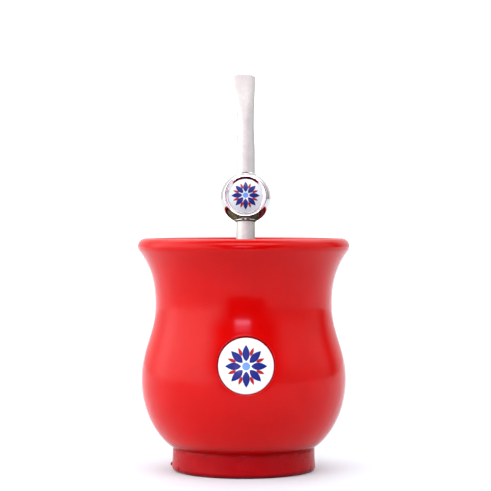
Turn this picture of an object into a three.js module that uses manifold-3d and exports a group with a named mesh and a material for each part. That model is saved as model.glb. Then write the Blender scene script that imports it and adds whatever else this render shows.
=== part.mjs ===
// A red footed mate cup filled with yerba and its drink, with a metal straw that has a ball and a
// mouthpiece. Millimetres, +Z up, origin at the centre of the foot's underside, front towards -Y.
import * as THREE from "three";
import { mergeVertices } from "three/addons/utils/BufferGeometryUtils.js";
import Module from "manifold-3d";

const wasm = await Module();
wasm.setup();

// Driving dimensions of the cup; a bend is how far a curve runs straight on from a waist or belly
const CUP_HEIGHT = 97.3;
const FOOT = { radius: 30.2, neck: 29.4, height: 9.4, round: 1.8, groove: 1.0, bend: 4.2 };
const BELLY = { radius: 43.0, height: 38.1, curveWidth: 24.2, curveHeight: 32.0, bend: 13.0 };
const WAIST = { radius: 37.1, height: 69.8, bendDown: 13.0, bendUp: 10.2 };
const LIP = { radius: 44.5, round: 3.4, flareAngle: -37.0, flareBend: 7.0, mouthBend: 5.0 };
const INNER_WAIST = { radius: 31.2, height: 72.0, bendUp: 10.0, bendDown: 12.0 };
const INNER_BELLY = { radius: 37.0, height: 41.0, bend: 11.0, floorRadius: 20.0 };
const FLOOR_HEIGHT = 12.0;

// Driving dimensions of the round badge set into the belly
const CUP_BADGE = { radius: 11.3, height: 46.9, turn: 1.4, sunk: 0.45, thickness: 0.9 };

// Driving dimensions of the straw, measured along its own axis from the plane of the rim
const STRAW = { radius: 4.0, wall: 0.7, below: 84.0, above: 71.0, lean: 10.0, offset: 0.8 };
const MOUTHPIECE = { taperStart: 36.0, flatStart: 49.0, taperRadius: 3.6, halfWidth: 5.1, halfDepth: 1.8 };
const MOUTHPIECE_SHAPE = { squareness: 3.0, crown: 1.0, crownLength: 8.0, sway: -0.6 };
const BALL = { radius: 10.75, height: 17.05, bezelRadius: 8.95 };
const BALL_BADGE = { radius: 8.1, depth: 1.0, meniscus: 1.6, shoulder: 0.63, halfway: 0.84, dome: 0.9 };

// Driving dimensions of the contents
const DRINK_LEVEL = 80.0;
const HEAP = { shore: -7.0, wave: 1.3, toe: 1.2, rise: 8.6, reach: 11.0, bump: 0.28, pitch: 2.0 };
const HEAP_RIPPLES = [[2.1, 1.3], [-2.6, 1.7], [0.9, -2.3]];
const SHORE_BAYS = [[4.3, 1.0], [2.1, 0.6]];
const STEM = { length: [5.0, 12.0], radius: [0.55, 0.95], taper: 0.85, sides: 5, lift: 0.25 };
const STEM_SPREAD = { count: 26, seed: 7, reach: 28.5, shoreClear: 3.5, steps: [0.7549, 0.5698] };

// Clearances and smoothness
const GAP = 0.3;
const WELD = 1e-4;
const CUP_SIDES = 56;
const DRINK_SIDES = 40;
const STRAW_SIDES = 24;
const DISC_SIDES = 40;
const BALL_SIDES = 36;

const QUARTER = Math.PI / 2;
const radians = THREE.MathUtils.degToRad;
const point = (x, y) => new THREE.Vector2(x, y);

// Colours and finishes
const lacquer = new THREE.MeshStandardMaterial({ color: 0xd41a16, roughness: 0.3, metalness: 0.0 });
const badgeWhite = new THREE.MeshStandardMaterial({ color: 0xf6f6f8, roughness: 0.25, metalness: 0.0 });
const steel = new THREE.MeshStandardMaterial({ color: 0xe4e1dc, roughness: 0.18, metalness: 1.0 });
const resinWhite = new THREE.MeshStandardMaterial({ color: 0xf2f2f8, roughness: 0.05, metalness: 0.0 });
const drinkGreen = new THREE.MeshStandardMaterial({ color: 0x5c5a22, roughness: 0.12, metalness: 0.0 });
const yerbaGreen = new THREE.MeshStandardMaterial({ color: 0x7d8048, roughness: 0.85, metalness: 0.0 });

// A curve sampled into a number of steps, without its first point, to be joined to what comes before.
function run(curve, steps) {
  return curve.getPoints(steps).slice(1);
}

function bezier(start, startHandle, endHandle, end) {
  return new THREE.CubicBezierCurve(start, startHandle, endHandle, end);
}

function arc(centre, radiusX, radiusY, from, to) {
  return new THREE.EllipseCurve(centre.x, centre.y, radiusX, radiusY, from, to, to < from);
}

// Turns a profile of (radius, height) points about the vertical axis.
function turned(profile, sides) {
  const geometry = new THREE.LatheGeometry(profile, sides);
  geometry.rotateX(QUARTER);
  return geometry;
}

// A cylinder standing on z = 0.
function standingCylinder(radius, height, sides) {
  const geometry = new THREE.CylinderGeometry(radius, radius, height, sides);
  geometry.rotateX(QUARTER);
  geometry.translate(0, 0, height / 2);
  return geometry;
}

// A closed geometry as a solid for joining and cutting.
function solid(geometry) {
  const bare = geometry.clone();
  bare.deleteAttribute("normal");
  bare.deleteAttribute("uv");
  const merged = mergeVertices(bare, WELD);
  const corners = merged.index.array;
  const triVerts = [];
  for (let i = 0; i < corners.length; i += 3) {
    const [a, b, c] = [corners[i], corners[i + 1], corners[i + 2]];
    if (a !== b && b !== c && c !== a) triVerts.push(a, b, c);
  }
  const vertProperties = merged.getAttribute("position").array;
  const mesh = new wasm.Mesh({ numProp: 3, vertProperties, triVerts: new Uint32Array(triVerts) });
  return new wasm.Manifold(mesh);
}

// A solid back as a geometry with flat faces.
function faceted(manifold) {
  const mesh = manifold.getMesh();
  const shared = new THREE.BufferGeometry();
  shared.setAttribute("position", new THREE.BufferAttribute(mesh.vertProperties, 3));
  shared.setIndex(new THREE.BufferAttribute(mesh.triVerts, 1));
  const geometry = shared.toNonIndexed();
  geometry.computeVertexNormals();
  return geometry;
}

// The largest body of a solid, without loose scraps.
function mainBody(manifold) {
  const bodies = manifold.decompose();
  return bodies.reduce((best, body) => (body.volume() > best.volume() ? body : best));
}

function named(name, geometry, material) {
  const mesh = new THREE.Mesh(geometry, material);
  mesh.name = name;
  return mesh;
}

// The outside of the cup from the centre of its underside up to the lip's crest, moved in by inset.
function outerProfile(inset) {
  const footCentre = point(FOOT.radius - FOOT.round, FOOT.round);
  const footSide = point(FOOT.radius - inset, FOOT.round);
  const footBend = point(FOOT.neck - inset, FOOT.bend);
  const footTop = point(FOOT.neck - inset, FOOT.height - FOOT.groove);
  const bellyCentre = point(BELLY.radius - BELLY.curveWidth, BELLY.height);
  const bellyStart = Math.asin((FOOT.height - BELLY.height) / BELLY.curveHeight);
  const belly = point(BELLY.radius - inset, BELLY.height);
  const bellyBend = point(belly.x, BELLY.height + BELLY.bend);
  const waist = point(WAIST.radius - inset, WAIST.height);
  const waistBends = [point(waist.x, waist.y - WAIST.bendDown), point(waist.x, waist.y + WAIST.bendUp)];
  const lipCentre = point(LIP.radius - LIP.round, CUP_HEIGHT - LIP.round);
  const lip = arc(lipCentre, LIP.round - inset, LIP.round - inset, radians(LIP.flareAngle), QUARTER);
  const lipStart = lip.getPoint(0);
  const flare = lip.getTangent(0).multiplyScalar(-LIP.flareBend);
  return [
    point(0, 0),
    ...run(arc(footCentre, FOOT.round - inset, FOOT.round, -QUARTER, 0), 3),
    ...run(new THREE.QuadraticBezierCurve(footSide, footBend, footTop), 2),
    ...run(arc(bellyCentre, BELLY.curveWidth - inset, BELLY.curveHeight, bellyStart, 0), 8),
    ...run(bezier(belly, bellyBend, waistBends[0], waist), 6),
    ...run(bezier(waist, waistBends[1], lipStart.clone().add(flare), lipStart), 6),
    ...run(lip, 5),
  ];
}

// The inside of the cup from the lip's crest down to the centre of its floor, moved in by inset.
function innerProfile(inset) {
  const lipCentre = point(LIP.radius - LIP.round, CUP_HEIGHT - LIP.round);
  const mouth = point(lipCentre.x - LIP.round - inset, lipCentre.y);
  const mouthBend = point(mouth.x, mouth.y - LIP.mouthBend);
  const waist = point(INNER_WAIST.radius - inset, INNER_WAIST.height);
  const bends = [INNER_WAIST.bendUp, -INNER_WAIST.bendDown];
  const waistBends = bends.map((bend) => point(waist.x, waist.y + bend));
  const belly = point(INNER_BELLY.radius - inset, INNER_BELLY.height);
  const bellyBend = point(belly.x, belly.y + INNER_BELLY.bend);
  const floorCentre = point(INNER_BELLY.floorRadius, INNER_BELLY.height);
  const floorDrop = INNER_BELLY.height - FLOOR_HEIGHT - inset;
  return [
    ...run(arc(lipCentre, LIP.round + inset, LIP.round, QUARTER, 2 * QUARTER), 3),
    ...run(bezier(mouth, mouthBend, waistBends[0], waist), 5),
    ...run(bezier(waist, waistBends[1], bellyBend, belly), 4),
    ...run(arc(floorCentre, belly.x - floorCentre.x, floorDrop, 0, -QUARTER), 4),
    point(0, FLOOR_HEIGHT + inset),
  ];
}

// The round badge's bar-shaped outline through the belly's front, at a radius.
function badgeBar(radius) {
  const bar = standingCylinder(radius, BELLY.radius, DISC_SIDES);
  bar.translate(0, 0, BELLY.radius / 2);
  bar.rotateX(QUARTER);
  bar.translate(0, 0, CUP_BADGE.height);
  bar.rotateZ(radians(CUP_BADGE.turn));
  return solid(bar);
}

// The cup's outside as a full solid, moved in by inset.
function belly(inset) {
  const profile = [...outerProfile(inset), point(0, CUP_HEIGHT - inset)];
  return solid(turned(profile, CUP_SIDES));
}

function makeCup() {
  const body = solid(turned([...outerProfile(0), ...innerProfile(0)], CUP_SIDES));
  const seatDepth = CUP_BADGE.sunk + CUP_BADGE.thickness + GAP;
  const seat = badgeBar(CUP_BADGE.radius + GAP).subtract(belly(seatDepth));
  return named("cup", faceted(body.subtract(seat)), lacquer);
}

function makeCupBadge() {
  const face = belly(CUP_BADGE.sunk);
  const back = belly(CUP_BADGE.sunk + CUP_BADGE.thickness);
  const disc = badgeBar(CUP_BADGE.radius).intersect(face).subtract(back);
  return named("cup_badge", faceted(mainBody(disc)), badgeWhite);
}

// Places what belongs to the straw, made along +Z from the plane of the rim.
function leaning() {
  const group = new THREE.Group();
  group.position.set(STRAW.offset, 0, CUP_HEIGHT);
  group.rotation.x = -radians(STRAW.lean);
  group.updateMatrix();
  return group;
}

// The straw's room in the contents, with a gap around it.
function strawRoom() {
  const length = STRAW.below + STRAW.above;
  const room = standingCylinder(STRAW.radius + GAP, length, STRAW_SIDES);
  room.translate(0, 0, -STRAW.below - GAP);
  room.applyMatrix4(leaning().matrix);
  return solid(room);
}

// Presses the round tube flat towards its tip: wider, thinner, squarer and with a crowned end.
function pressMouthpiece(geometry) {
  const positions = geometry.getAttribute("position");
  const spot = new THREE.Vector3();
  const smooth = THREE.MathUtils.smoothstep;
  for (let i = 0; i < positions.count; i += 1) {
    spot.fromBufferAttribute(positions, i);
    const taper = smooth(spot.z, MOUTHPIECE.taperStart, MOUTHPIECE.flatStart);
    const press = smooth(spot.z, MOUTHPIECE.flatStart, STRAW.above);
    const inward = STRAW.radius - Math.hypot(spot.x, spot.y);
    const round = THREE.MathUtils.lerp(STRAW.radius, MOUTHPIECE.taperRadius, taper);
    const halfWidth = THREE.MathUtils.lerp(round, MOUTHPIECE.halfWidth, press) - inward;
    const halfDepth = THREE.MathUtils.lerp(round, MOUTHPIECE.halfDepth, press) - inward;
    const power = 2 / THREE.MathUtils.lerp(2, MOUTHPIECE_SHAPE.squareness, press);
    const angle = Math.atan2(spot.y, spot.x);
    const across = Math.sign(Math.cos(angle)) * Math.abs(Math.cos(angle)) ** power;
    const deep = Math.sign(Math.sin(angle)) * Math.abs(Math.sin(angle)) ** power;
    const nearTip = smooth(spot.z, STRAW.above - MOUTHPIECE_SHAPE.crownLength, STRAW.above);
    const crown = MOUTHPIECE_SHAPE.crown * nearTip * across ** 4;
    const sway = MOUTHPIECE_SHAPE.sway * press;
    positions.setXYZ(i, halfWidth * across + sway, halfDepth * deep, spot.z - crown);
  }
  return geometry;
}

function makeStraw() {
  const stretch = [-STRAW.below, 0, MOUTHPIECE.taperStart];
  const taperSteps = 3;
  const pressSteps = 8;
  for (let i = 1; i <= taperSteps; i += 1) {
    stretch.push(THREE.MathUtils.lerp(MOUTHPIECE.taperStart, MOUTHPIECE.flatStart, i / taperSteps));
  }
  for (let i = 1; i <= pressSteps; i += 1) {
    stretch.push(THREE.MathUtils.lerp(MOUTHPIECE.flatStart, STRAW.above, i / pressSteps));
  }
  const outside = stretch.map((height) => point(STRAW.radius, height));
  const inside = stretch.map((height) => point(STRAW.radius - STRAW.wall, height)).reverse();
  const tube = turned([...outside, ...inside, outside[0]], STRAW_SIDES);
  return named("straw", pressMouthpiece(tube), steel);
}

// The distance from the ball's centre to its flat front.
const bezelDistance = Math.sqrt(BALL.radius ** 2 - BALL.bezelRadius ** 2);

function makeBall() {
  const sphere = new THREE.SphereGeometry(BALL.radius, BALL_SIDES, BALL_SIDES / 2);
  sphere.rotateX(QUARTER);
  const front = new THREE.BoxGeometry(2 * BALL.radius, BALL.radius, 2 * BALL.radius);
  front.translate(0, -bezelDistance - BALL.radius / 2, 0);
  const seat = standingCylinder(BALL_BADGE.radius + GAP, BALL.radius, DISC_SIDES);
  seat.rotateX(QUARTER);
  seat.translate(0, BALL_BADGE.depth - bezelDistance, 0);
  const bore = standingCylinder(STRAW.radius + GAP, 4 * BALL.radius, STRAW_SIDES);
  bore.translate(0, 0, -2 * BALL.radius);
  const ball = solid(sphere).subtract(solid(front)).subtract(solid(seat)).subtract(solid(bore));
  const mesh = named("straw_ball", faceted(ball), steel);
  mesh.position.z = BALL.height;
  return mesh;
}

// A domed disc whose edge falls off in a short round meniscus.
function makeBallBadge() {
  const rim = BALL_BADGE.depth - GAP;
  const edge = point(BALL_BADGE.radius - BALL_BADGE.meniscus, rim);
  const profile = [
    point(0, 0),
    point(BALL_BADGE.radius, 0),
    point(BALL_BADGE.radius, rim),
    ...run(arc(edge, BALL_BADGE.meniscus, BALL_BADGE.shoulder, 0, QUARTER), 4),
    point(edge.x / 2, rim + BALL_BADGE.halfway),
    point(0, rim + BALL_BADGE.dome),
  ];
  const disc = turned(profile, DISC_SIDES);
  disc.rotateX(QUARTER);
  const mesh = named("ball_badge", disc, resinWhite);
  mesh.position.set(0, rim - bezelDistance, BALL.height);
  return mesh;
}

// The room inside the cup, clear of its wall.
function cavity() {
  const profile = [point(0, CUP_HEIGHT), ...innerProfile(GAP)].reverse();
  return solid(turned(profile, DRINK_SIDES));
}

function makeDrink() {
  const pool = solid(standingCylinder(LIP.radius, DRINK_LEVEL, DRINK_SIDES));
  const drink = cavity().intersect(pool).subtract(strawRoom());
  return named("drink", faceted(mainBody(drink)), drinkGreen);
}

// The height of the yerba's slope over the drink, at a distance from its shore towards the wall.
function heapHeight(x, y, inland) {
  const slope = HEAP.rise * (1 - Math.exp(-inland / HEAP.reach));
  const ripple = HEAP_RIPPLES.reduce((sum, [alongX, alongY]) => sum + Math.sin(alongX * x + alongY * y), 0);
  return DRINK_LEVEL + GAP + HEAP.toe + slope + HEAP.bump * ripple;
}

// Where the yerba's wavy shore lies.
function shoreAt(y) {
  const bays = SHORE_BAYS.reduce((sum, [width, share]) => sum + share * Math.sin(y / width), 0);
  return HEAP.shore + HEAP.wave * bays;
}

function makeHeap() {
  const width = LIP.radius + HEAP.shore;
  const length = 2 * LIP.radius;
  const [columns, rows] = [Math.round(width / HEAP.pitch), Math.round(length / HEAP.pitch)];
  const slab = new THREE.BoxGeometry(width, length, 1, columns, rows, 1);
  const positions = slab.getAttribute("position");
  for (let i = 0; i < positions.count; i += 1) {
    const y = positions.getY(i);
    const inland = width / 2 - positions.getX(i);
    const x = shoreAt(y) - inland;
    const top = positions.getZ(i) > 0;
    positions.setXYZ(i, x, y, top ? heapHeight(x, y, inland) : DRINK_LEVEL - HEAP.rise);
  }
  const stems = makeStems().map((stem) => solid(stem));
  const heap = wasm.Manifold.union([solid(slab), ...stems]);
  const above = new THREE.BoxGeometry(2 * LIP.radius, length, CUP_HEIGHT);
  above.translate(0, 0, DRINK_LEVEL + GAP + CUP_HEIGHT / 2);
  const trimmed = heap.intersect(cavity()).intersect(solid(above)).subtract(strawRoom());
  return named("yerba", faceted(mainBody(trimmed)), yerbaGreen);
}

// A repeatable stream of numbers from 0 to 1.
function draws(seed) {
  let state = seed;
  return () => {
    state = (state * 16807) % 2147483647;
    return state / 2147483647;
  };
}

// One cut stem that lies on the slope, its middle at (x, y).
function makeStem(x, y, length, radius, turn) {
  const ends = [-length / 2, length / 2];
  const heights = ends.map((end) => {
    const endX = x + end * Math.cos(turn);
    const endY = y + end * Math.sin(turn);
    return heapHeight(endX, endY, shoreAt(endY) - endX);
  });
  const stem = new THREE.CylinderGeometry(radius * STEM.taper, radius, length, STEM.sides);
  stem.rotateZ(-QUARTER);
  stem.rotateY(-Math.atan2(heights[1] - heights[0], length));
  stem.rotateZ(turn);
  stem.translate(x, y, (heights[0] + heights[1]) / 2 + STEM.lift * radius);
  return stem;
}

// Short cut stems spread evenly over the yerba's slope and turned every way.
function makeStems() {
  const draw = draws(STEM_SPREAD.seed);
  const between = ([low, high]) => THREE.MathUtils.lerp(low, high, draw());
  const stems = [];
  for (let i = 1; i <= STEM_SPREAD.count; i += 1) {
    const [along, inland] = STEM_SPREAD.steps.map((step) => (i * step) % 1);
    const y = STEM_SPREAD.reach * (2 * along - 1);
    const span = shoreAt(y) + Math.sqrt(STEM_SPREAD.reach ** 2 - y ** 2);
    const x = shoreAt(y) - THREE.MathUtils.lerp(STEM_SPREAD.shoreClear, span, inland);
    const room = 2 * (INNER_WAIST.radius - Math.hypot(x, y));
    const length = Math.min(between(STEM.length), room);
    const radius = between(STEM.radius);
    const turn = between([0, Math.PI]);
    if (span > STEM_SPREAD.shoreClear) stems.push(makeStem(x, y, length, radius, turn));
  }
  return stems;
}

const straw = leaning();
straw.add(makeStraw(), makeBall(), makeBallBadge());

const mate = new THREE.Group();
mate.add(makeCup(), makeCupBadge(), makeDrink(), makeHeap(), straw);

export default mate;
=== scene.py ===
"""Dresses the mate cup: red lacquer, printed badges, a metal straw, the drink and its yerba.

Shapes are worked out in millimetres in the part's own frame, and their meshes are made in metres.
"""
import math
from collections import namedtuple
from types import SimpleNamespace as Sizes

import bmesh
import bpy
import numpy as np
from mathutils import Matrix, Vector


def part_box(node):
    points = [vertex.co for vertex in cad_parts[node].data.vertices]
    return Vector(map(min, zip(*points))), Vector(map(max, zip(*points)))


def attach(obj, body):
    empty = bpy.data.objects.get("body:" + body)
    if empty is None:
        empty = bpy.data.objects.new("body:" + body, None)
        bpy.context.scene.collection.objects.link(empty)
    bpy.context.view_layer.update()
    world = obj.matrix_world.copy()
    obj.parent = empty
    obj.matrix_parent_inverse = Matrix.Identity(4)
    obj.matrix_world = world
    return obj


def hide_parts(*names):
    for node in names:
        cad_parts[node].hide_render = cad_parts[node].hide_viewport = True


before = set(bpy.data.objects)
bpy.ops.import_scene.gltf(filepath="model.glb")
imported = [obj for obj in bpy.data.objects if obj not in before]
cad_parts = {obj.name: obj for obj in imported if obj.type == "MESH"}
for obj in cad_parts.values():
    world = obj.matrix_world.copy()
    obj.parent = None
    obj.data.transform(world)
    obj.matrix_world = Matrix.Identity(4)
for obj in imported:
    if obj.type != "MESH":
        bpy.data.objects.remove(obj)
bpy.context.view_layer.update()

MM = 0.001
FULL_TURN = 2 * math.pi
QUARTER = math.pi / 2

# The cup; a bend is how far a curve runs straight on from a waist or belly
CUP_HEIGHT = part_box("cup")[1].z / MM
FOOT = Sizes(radius=30.1, neck=29.8, top=8.7, round=1.6, bend=4.4, height=10.1)
GROOVE = Sizes(radius=29.5, height=9.6)
BELLY = Sizes(radius=43.0, height=38.1, curve_width=24.2, curve_height=32.0, bend=13.0)
WAIST = Sizes(radius=37.1, height=69.8, bend_down=13.0, bend_up=10.2)
LIP = Sizes(radius=44.5, round=3.4, flare_angle=math.radians(-37.0), flare_bend=7.0, mouth_bend=5.0)
INNER_WAIST = Sizes(radius=31.2, height=72.0, bend_up=10.0, bend_down=12.0)
INNER_BELLY = Sizes(radius=37.0, height=41.0, bend=11.0, floor_radius=20.0)
FLOOR_HEIGHT = 12.0
CUP_COLUMNS = 256
# Depths under the lip's crest over which the inside goes over into a deeper red, painted shade inside the cup
INSIDE_SHADE = (0.1, 2.2)

# The round badge in the belly, and the part of the cup's grid that makes room for its seat
CUP_BADGE = Sizes(radius=11.15, height=46.9, turn=math.radians(1.4), sunk=0.45, settled=0.2,
                  thickness=0.9, dome=0.12, rosette=8.4)
# The broken edge of its face: (in from the rim, down from the face)
CUP_BADGE_EDGE = [(0.12, 0.07), (0.0, 0.25)]
CUP_BADGE_FACE = (1.5, CUP_BADGE.radius - 0.35)
# The seat's rings: (radius, depth under the belly's curve)
SEAT_RINGS = [(12.05, 0.0), (11.85, 0.03), (11.7, 0.12), (11.63, 0.3), (11.6, 0.9), (11.6, 1.6)]
SEAT_PATCH = Sizes(columns=14, half_height=14.0, rings=5)

# The straw, measured along its own axis from the plane of the rim
STRAW = Sizes(radius=4.0, wall=0.7, below=84.0, above=70.5, lean=math.radians(10.0), offset=0.8)
MOUTHPIECE = Sizes(taper_start=36.0, flat_start=49.0, taper_radius=3.6, half_width=5.1, half_depth=1.8)
MOUTHPIECE_SHAPE = Sizes(squareness=3.0, crown=1.0, crown_length=8.0, sway=-0.95)
BALL = Sizes(radius=10.75, height=17.05, bezel_radius=8.95, edge_turn=0.03)
BALL_BADGE = Sizes(radius=8.1, depth=2.0, seat_gap=0.3, window=7.2, dome=0.75, dome_power=2.2,
                   flange_drop=0.2, rosette=5.9)
# The bezel's sloping inner edge, and its broken outer one: (in from the bezel's rim, back from its face)
BEZEL_EDGE = Sizes(width=0.85, drop=0.66, gap=0.05, round=0.08, lip=0.1)
BEZEL_RIM = [(0.04, 0.06), (0.16, 0.0)]
COLLAR = Sizes(round=0.75, lift=0.6, overlap=0.1, outer_root=1.2, inner_root=1.0)
BEZEL_DISTANCE = math.sqrt(BALL.radius**2 - BALL.bezel_radius**2)

# The contents
DRINK_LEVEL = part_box("drink")[1].z / MM
DRINK_SETTLED = 0.5
DRINK_BODY = Sizes(into_wall=0.05, under_level=1, rings=60, crowding=0.8)
WETTING = Sizes(wall=0.9, straw=0.8)
# Low swells of the drink: (height, waves along x, waves along y)
DRINK_SWELLS = [(0.06, 0.5, 0.3), (0.05, -0.4, 0.7)]
HEAP = Sizes(shore=-7.0, wave=1.3, toe=1.2, toe_reach=(-0.5, 2.5), rise=8.6, reach=11.0, bump=0.28, gap=0.3)
HEAP_BODY = Sizes(wall_gap=0.6, least_width=0.4, first_rise=6, into_wall=0.3, relief=0.16, calm_shore=0.1,
                  under=1.5)
# (waves along x, waves along y)
HEAP_RIPPLES = [(2.1, 1.3), (-2.6, 1.7), (0.9, -2.3)]
# (width, share of the shore's wave)
SHORE_BAYS = [(4.3, 1.0), (2.1, 0.6)]
SCATTER = Sizes(past_shore=3, ashore=0.4, mean_rise=4)
WET_LEAF = Sizes(reach=2.5, darkening=0.75)
FLAKE = Sizes(ratio=(0.35, 0.85), jitter=0.28, spread=(0.7, 1.15), bend=0.18, half_thickness=(0.05, 0.11))
STEM_STATIONS = np.array([-1.0, -0.97, -0.5, 0.0, 0.5, 0.97, 1.0])
STEM_WIDTHS = np.array([0.8, 1.0, 0.97, 0.94, 0.96, 1.0, 0.82])
STEM_BOW = 0.05
FOAM = Sizes(largest=0.8, smallest=0.2, tries=14000, near_shore=3.2, near_straw=1.3, near_wall=1.6,
             packing=0.85, sunk=0.25, height=0.85, low_angle=-0.35)
# Clear space round a bubble in shares of its size
FOAM_GAP = Sizes(shore=0.6, wall=0.9, straw=0.8)
SEEDS = Sizes(heap=11, pieces=5, foam=3)

# Beads of lacquer at the foot; an azimuth is in degrees from the front round to the right
DRIPS = [
    Sizes(azimuth=-91, height=2.2, half_width=0.75, half_height=0.9, proud=0.75),
    Sizes(azimuth=-64, height=1.9, half_width=0.9, half_height=0.8, proud=0.45),
]
DRIP_ROOT = Sizes(sunk=0.25, back=0.1, low_angle=-0.3)
SHARP_EDGE = math.radians(38)
# Where a cubic curve has its handles to follow a curve with one handle
ONE_HANDLE = 2 / 3


# Curves and profiles


def bezier(start, handle_a, handle_b, end, steps):
    """Points along a cubic curve, without its first."""
    t = np.linspace(0, 1, steps + 1)[1:, None]
    corners = [np.asarray(p, float) for p in (start, handle_a, handle_b, end)]
    weights = [(1 - t) ** 3, 3 * t * (1 - t) ** 2, 3 * t**2 * (1 - t), t**3]
    return sum(w * p for w, p in zip(weights, corners))


def arc(centre, radius_x, radius_y, start, end, steps):
    """Points along an elliptical arc, without its first."""
    angle = np.linspace(start, end, steps + 1)[1:]
    return np.column_stack([centre[0] + radius_x * np.cos(angle), centre[1] + radius_y * np.sin(angle)])


def turn_angles(columns):
    """Evenly spaced angles round a full turn."""
    return FULL_TURN * np.arange(columns) / columns


def smoothstep(x, low, high):
    t = np.clip((np.asarray(x, float) - low) / (high - low), 0, 1)
    return t * t * (3 - 2 * t)


def lerp(a, b, t):
    return a + (b - a) * t


def cup_outside():
    """(radius, height) from the foot's underside up to the lip's crest."""
    foot_centre = (FOOT.radius - FOOT.round, FOOT.round)
    foot_top = np.array([FOOT.neck, FOOT.top])
    groove = (GROOVE.radius, GROOVE.height)
    foot_side = np.array([FOOT.radius, FOOT.round])
    foot_bend = np.array([FOOT.neck, FOOT.bend])
    belly_start = math.asin((FOOT.height - BELLY.height) / BELLY.curve_height)
    belly_centre = (BELLY.radius - BELLY.curve_width, BELLY.height)
    belly_bend = (BELLY.radius, BELLY.height + BELLY.bend)
    waist = (WAIST.radius, WAIST.height)
    waist_low = (WAIST.radius, WAIST.height - WAIST.bend_down)
    waist_high = (WAIST.radius, WAIST.height + WAIST.bend_up)
    lip_centre = (LIP.radius - LIP.round, CUP_HEIGHT - LIP.round)
    out = np.array([math.cos(LIP.flare_angle), math.sin(LIP.flare_angle)])
    lip_start = np.array(lip_centre) + LIP.round * out
    flare = lip_start + LIP.flare_bend * np.array([out[1], -out[0]])
    belly = (BELLY.radius, BELLY.height)
    return np.vstack([
        [(foot_centre[0] / 2, 0), (foot_centre[0], 0)],
        arc(foot_centre, FOOT.round, FOOT.round, -QUARTER, 0, 8),
        bezier(foot_side, lerp(foot_side, foot_bend, ONE_HANDLE),
               lerp(foot_top, foot_bend, ONE_HANDLE), foot_top, 8),
        bezier(foot_top, (FOOT.neck, GROOVE.height), (GROOVE.radius, FOOT.top), groove, 6),
        arc(belly_centre, BELLY.curve_width, BELLY.curve_height, belly_start, 0, 37),
        bezier(belly, belly_bend, waist_low, waist, 32),
        bezier(waist, waist_high, flare, lip_start, 24),
        arc(lip_centre, LIP.round, LIP.round, LIP.flare_angle, QUARTER, 18),
    ])


def cup_inside():
    """(radius, height) from the lip's crest down to the edge of the flat floor."""
    lip_centre = (LIP.radius - LIP.round, CUP_HEIGHT - LIP.round)
    mouth = (lip_centre[0] - LIP.round, lip_centre[1])
    mouth_bend = (mouth[0], mouth[1] - LIP.mouth_bend)
    waist = (INNER_WAIST.radius, INNER_WAIST.height)
    waist_high = (INNER_WAIST.radius, INNER_WAIST.height + INNER_WAIST.bend_up)
    waist_low = (INNER_WAIST.radius, INNER_WAIST.height - INNER_WAIST.bend_down)
    belly = (INNER_BELLY.radius, INNER_BELLY.height)
    belly_bend = (INNER_BELLY.radius, INNER_BELLY.height + INNER_BELLY.bend)
    floor_centre = (INNER_BELLY.floor_radius, INNER_BELLY.height)
    floor_width = INNER_BELLY.radius - INNER_BELLY.floor_radius
    floor_drop = INNER_BELLY.height - FLOOR_HEIGHT
    return np.vstack([
        arc(lip_centre, LIP.round, LIP.round, QUARTER, 2 * QUARTER, 12),
        bezier(mouth, mouth_bend, waist_high, waist, 24),
        bezier(waist, waist_low, belly_bend, belly, 12),
        arc(floor_centre, floor_width, floor_drop, 0, -QUARTER, 12),
    ])


OUTSIDE = cup_outside()
INSIDE = cup_inside()


def outer_radius(height):
    """The cup's outer radius at a height between its foot and its lip."""
    wall = OUTSIDE[OUTSIDE[:, 1] > GROOVE.height]
    return np.interp(height, wall[:, 1], wall[:, 0])


def inner_radius(height):
    """The cup's inner radius at a height."""
    wall = INSIDE[::-1]
    return np.interp(height, wall[:, 1], wall[:, 0])


def on_belly(u, v, inset):
    """The point of the belly's front u aside and v up from the badge's middle, pushed in by inset."""
    u, v = np.asarray(u, float), np.asarray(v, float)
    height = CUP_BADGE.height + v
    depth = np.sqrt(outer_radius(height) ** 2 - u**2) - inset
    turn_cos, turn_sin = math.cos(CUP_BADGE.turn), math.sin(CUP_BADGE.turn)
    return np.stack([u * turn_cos + depth * turn_sin, u * turn_sin - depth * turn_cos, height], axis=-1)


def on_straw(points):
    """Points of the straw's own frame in the part's frame."""
    points = np.asarray(points, float)
    lean_cos, lean_sin = math.cos(STRAW.lean), math.sin(STRAW.lean)
    x, y, z = points[..., 0], points[..., 1], points[..., 2]
    return np.stack([x + STRAW.offset, y * lean_cos + z * lean_sin,
                     z * lean_cos - y * lean_sin + CUP_HEIGHT], axis=-1)


# Meshes


class Shape:
    """Vertices in millimetres and faces, gathered from several additions."""

    def __init__(self):
        self.vertices = []
        self.faces = []
        self.count = 0

    def add(self, vertices, faces=()):
        """Adds vertices, and faces that count from the first of them; returns that first one's number."""
        vertices = np.asarray(vertices, float).reshape(-1, 3)
        start = self.count
        self.vertices.append(vertices)
        self.count += len(vertices)
        self.faces.extend([tuple(int(i) + start for i in face) for face in faces])
        return start

    def link(self, faces):
        """Adds faces between vertices that are already there."""
        self.faces.extend([tuple(int(i) for i in face) for face in faces])


def ring_faces(first, second, size):
    """Quads between two closed rows of vertices that start at these numbers."""
    return [(first + i, first + (i + 1) % size, second + (i + 1) % size, second + i) for i in range(size)]


def fan_faces(first, size, tip):
    return [(first + i, first + (i + 1) % size, tip) for i in range(size)]


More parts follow.
